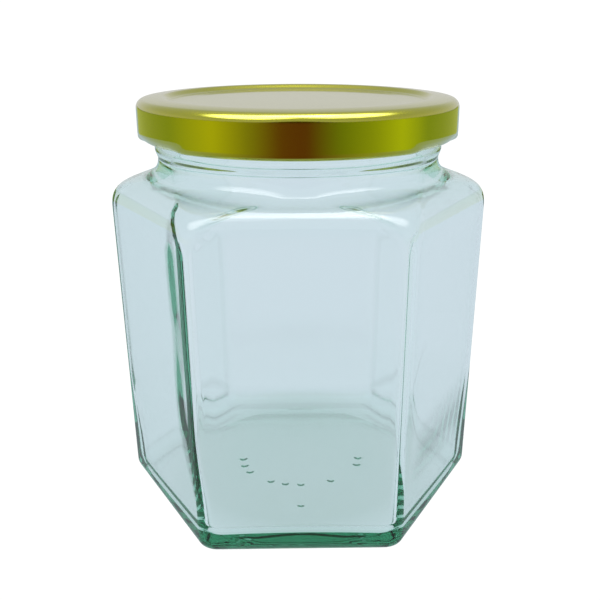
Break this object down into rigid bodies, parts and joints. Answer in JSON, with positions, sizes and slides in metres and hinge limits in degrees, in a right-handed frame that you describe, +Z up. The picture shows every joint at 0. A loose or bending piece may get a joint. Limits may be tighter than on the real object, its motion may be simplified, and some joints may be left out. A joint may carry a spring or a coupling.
{
  "type": "hexagonal glass jar",
  "caption": "Empty clear glass jar of hexagonal section with a sloping shoulder and a round neck, closed by a gold pressed-metal lug lid, for jam, honey or preserves.",
  "frame": {"origin": "under the middle of the foot, on the surface that the jar stands on", "axes": "+Z up along the jar's axis, -Y out of the middle of the front face, X towards two opposite upright edges"},
  "size_m": [0.074, 0.0648, 0.0811],
  "materials": {
    "clear_glass": "clear, smooth, pale green where it is thick",
    "gold_lacquered_tinplate": "glossy gold lacquer"
  },
  "bodies": {
    "root": {"glass_jar": "clear_glass", "lid": "gold_lacquered_tinplate"}
  },
  "joints": []
}
